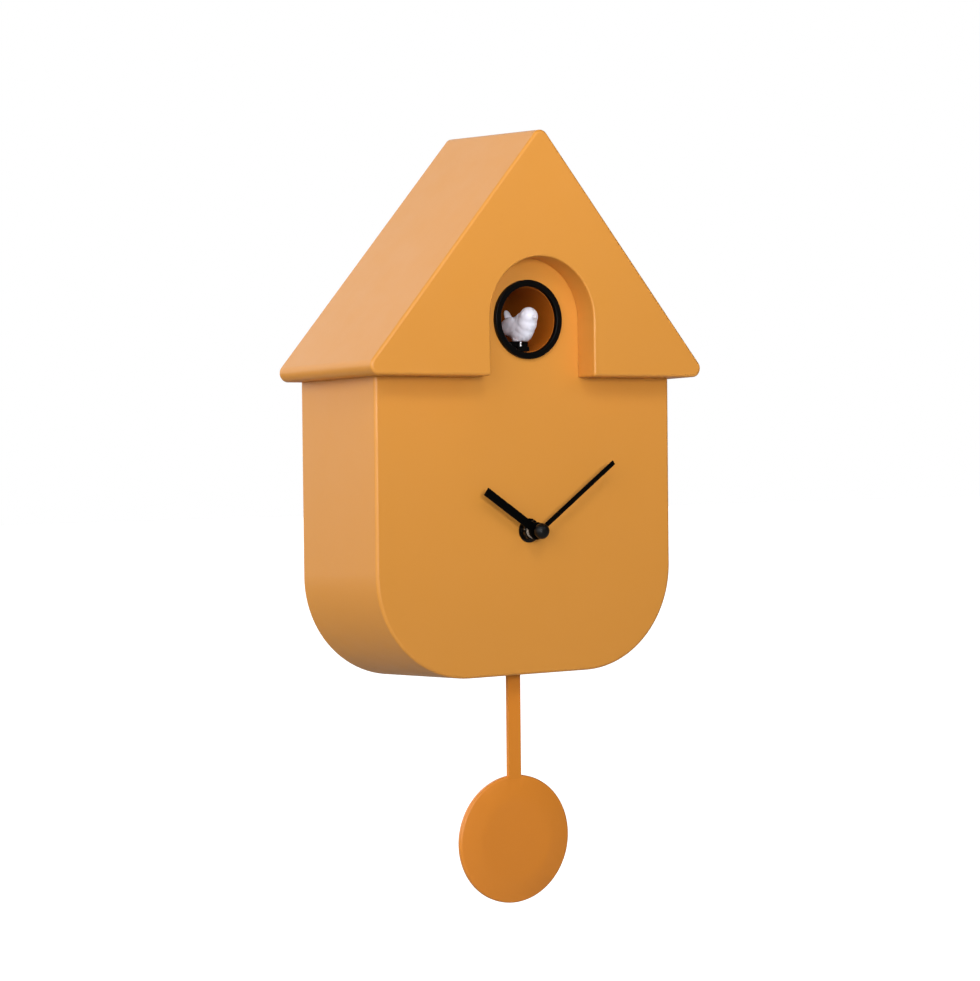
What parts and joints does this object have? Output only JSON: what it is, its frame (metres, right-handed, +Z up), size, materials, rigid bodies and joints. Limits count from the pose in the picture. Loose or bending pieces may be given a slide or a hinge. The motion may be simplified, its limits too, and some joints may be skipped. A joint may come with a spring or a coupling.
{
  "type": "wall cuckoo clock",
  "caption": "House-shaped wall clock: steep gabled roof with an arched doorway, a bird in a round window, two straight hands and a disc pendulum below.",
  "frame": {"origin": "centre of the round hole of the hanging keyhole, in the plane of the wall", "axes": "+X to the right of someone facing the clock, +Y into the wall, +Z up; the front faces -Y"},
  "size_m": [0.215, 0.089, 0.4115],
  "materials": {
    "shell_plastic": "satin moulded",
    "cover_plastic": "fine matte texture",
    "black_metal": "satin black paint",
    "black_plastic": "satin",
    "bird_white": "satin white",
    "steel": "zinc plated",
    "chrome": "polished",
    "brass": "turned",
    "works_plastic": "fine matte texture",
    "gear_plastic": "smooth natural acetal",
    "copper": "enamelled winding wire",
    "board": "solder mask",
    "magnet": "sintered",
    "cell": "plain printed sleeve",
    "paper": "pressed paper cone",
    "lead_plastic": "PVC insulation"
  },
  "bodies": {
    "house": {"body_shell": "shell_plastic", "roof_shell": "shell_plastic", "back_cover": "cover_plastic", "hanger_plate": "steel", "cover_screws": "steel", "roof_screws": "steel", "window_ring": "black_plastic", "window_tunnel": "shell_plastic", "axle_pin": "steel", "bird_motor": "steel", "mounting_nut": "chrome", "nut_washer": "steel", "threaded_bushing": "brass", "movement_front_case": "works_plastic", "movement_back_case": "works_plastic", "movement_plate": "gear_plastic", "stator": "steel", "coil_bobbin": "works_plastic", "coil_winding": "copper", "circuit_board": "board", "quartz_crystal": "steel", "aa_battery": "cell", "movement_contacts": "steel", "pivot_pin": "steel", "drive_coil": "copper", "pendulum_box": "works_plastic", "pendulum_box_lid": "works_plastic", "speaker_frame": "steel", "speaker_cone": "paper", "speaker_magnet": "magnet", "sound_board": "board", "sound_chip": "works_plastic", "switch_body": "steel", "c_batteries": "cell", "tray_contacts": "steel", "inner_leads": "lead_plastic"},
    "minute_arbor": {"minute_hand": "black_metal", "minute_arbor": "steel", "hand_collar": "steel", "hand_cap": "black_plastic"},
    "hour_tube": {"hour_hand": "black_metal", "hour_wheel": "gear_plastic"},
    "minute_wheel": {"minute_wheel": "gear_plastic"},
    "setting_knob": {"setting_knob": "works_plastic"},
    "center_wheel": {"center_wheel": "gear_plastic"},
    "third_wheel": {"third_wheel": "gear_plastic"},
    "second_wheel": {"second_wheel": "gear_plastic"},
    "fifth_wheel": {"fifth_wheel": "gear_plastic"},
    "rotor": {"rotor": "magnet"},
    "pendulum": {"pendulum_hanger": "works_plastic", "pendulum_magnet": "magnet", "pendulum_rod": "shell_plastic", "pendulum_disc": "shell_plastic"},
    "bird": {"bird_body": "bird_white", "bird_pin": "steel", "bird_carrier": "black_plastic"},
    "drive_gear": {"drive_gear": "gear_plastic"},
    "motor_pinion": {"motor_pinion": "brass"},
    "battery_door": {"battery_door": "cover_plastic"},
    "switch_slider": {"switch_slider": "black_plastic"}
  },
  "joints": [
    {"name": "minute_turn", "type": "hinge", "parent": "house", "child": "minute_arbor", "pos_m": [0, -0.07, -0.1655], "axis": [0, 1, 0], "continuous": true},
    {"name": "hour_turn", "type": "hinge", "parent": "house", "child": "hour_tube", "pos_m": [0, -0.075, -0.1655], "axis": [0, 1, 0], "continuous": true},
    {"name": "minute_wheel_turn", "type": "hinge", "parent": "house", "child": "minute_wheel", "pos_m": [0.00663, -0.067, -0.16309], "axis": [0, 1, 0], "continuous": true},
    {"name": "knob_turn", "type": "hinge", "parent": "house", "child": "setting_knob", "pos_m": [0.01326, -0.06, -0.16067], "axis": [0, 1, 0], "continuous": true},
    {"name": "center_wheel_turn", "type": "hinge", "parent": "house", "child": "center_wheel", "pos_m": [0, -0.061, -0.1655], "axis": [0, 1, 0], "continuous": true},
    {"name": "third_wheel_turn", "type": "hinge", "parent": "house", "child": "third_wheel", "pos_m": [-0.00428, -0.06, -0.15808], "axis": [0, 1, 0], "continuous": true},
    {"name": "second_wheel_turn", "type": "hinge", "parent": "house", "child": "second_wheel", "pos_m": [-0.00065, -0.06, -0.1518], "axis": [0, 1, 0], "continuous": true},
    {"name": "fifth_wheel_turn", "type": "hinge", "parent": "house", "child": "fifth_wheel", "pos_m": [0.0062, -0.06, -0.1518], "axis": [0, 1, 0], "continuous": true},
    {"name": "rotor_turn", "type": "hinge", "parent": "house", "child": "rotor", "pos_m": [0.0133, -0.058, -0.15438], "axis": [0, 1, 0], "continuous": true},
    {"name": "pendulum_swing", "type": "hinge", "parent": "house", "child": "pendulum", "pos_m": [0, -0.056, -0.199], "axis": [0, 1, 0], "range_deg": [-8, 8]},
    {"name": "bird_slide", "type": "slide", "parent": "house", "child": "bird", "axis": [0, -1, 0], "range_m": [0, 0.022]},
    {"name": "drive_gear_turn", "type": "hinge", "parent": "house", "child": "drive_gear", "pos_m": [0, -0.036, -0.0773], "axis": [1, 0, 0], "range_deg": [-270, 270]},
    {"name": "motor_pinion_turn", "type": "hinge", "parent": "house", "child": "motor_pinion", "pos_m": [0.005, -0.03027, -0.08303], "axis": [1, 0, 0], "range_deg": [-800, 800]},
    {"name": "battery_door_turn", "type": "hinge", "parent": "house", "child": "battery_door", "pos_m": [0, -0.001, -0.23], "axis": [-1, 0, 0], "range_deg": [0, 100]},
    {"name": "mode_switch_slide", "type": "slide", "parent": "house", "child": "switch_slider", "axis": [1, 0, 0], "range_m": [0, 0.006]}
  ],
  "couplings": [
    {"joint": "hour_turn", "follows": "minute_turn", "ratio": 0.083333},
    {"joint": "minute_wheel_turn", "follows": "minute_turn", "ratio": -0.33333},
    {"joint": "knob_turn", "follows": "minute_turn", "ratio": 1},
    {"joint": "center_wheel_turn", "follows": "second_wheel_turn", "ratio": 0.016667},
    {"joint": "third_wheel_turn", "follows": "second_wheel_turn", "ratio": -0.125},
    {"joint": "fifth_wheel_turn", "follows": "second_wheel_turn", "ratio": -7.5},
    {"joint": "rotor_turn", "follows": "second_wheel_turn", "ratio": 30},
    {"joint": "drive_gear_turn", "follows": "bird_slide", "rad_per_m": 208.33},
    {"joint": "motor_pinion_turn", "follows": "bird_slide", "rad_per_m": -625}
  ]
}
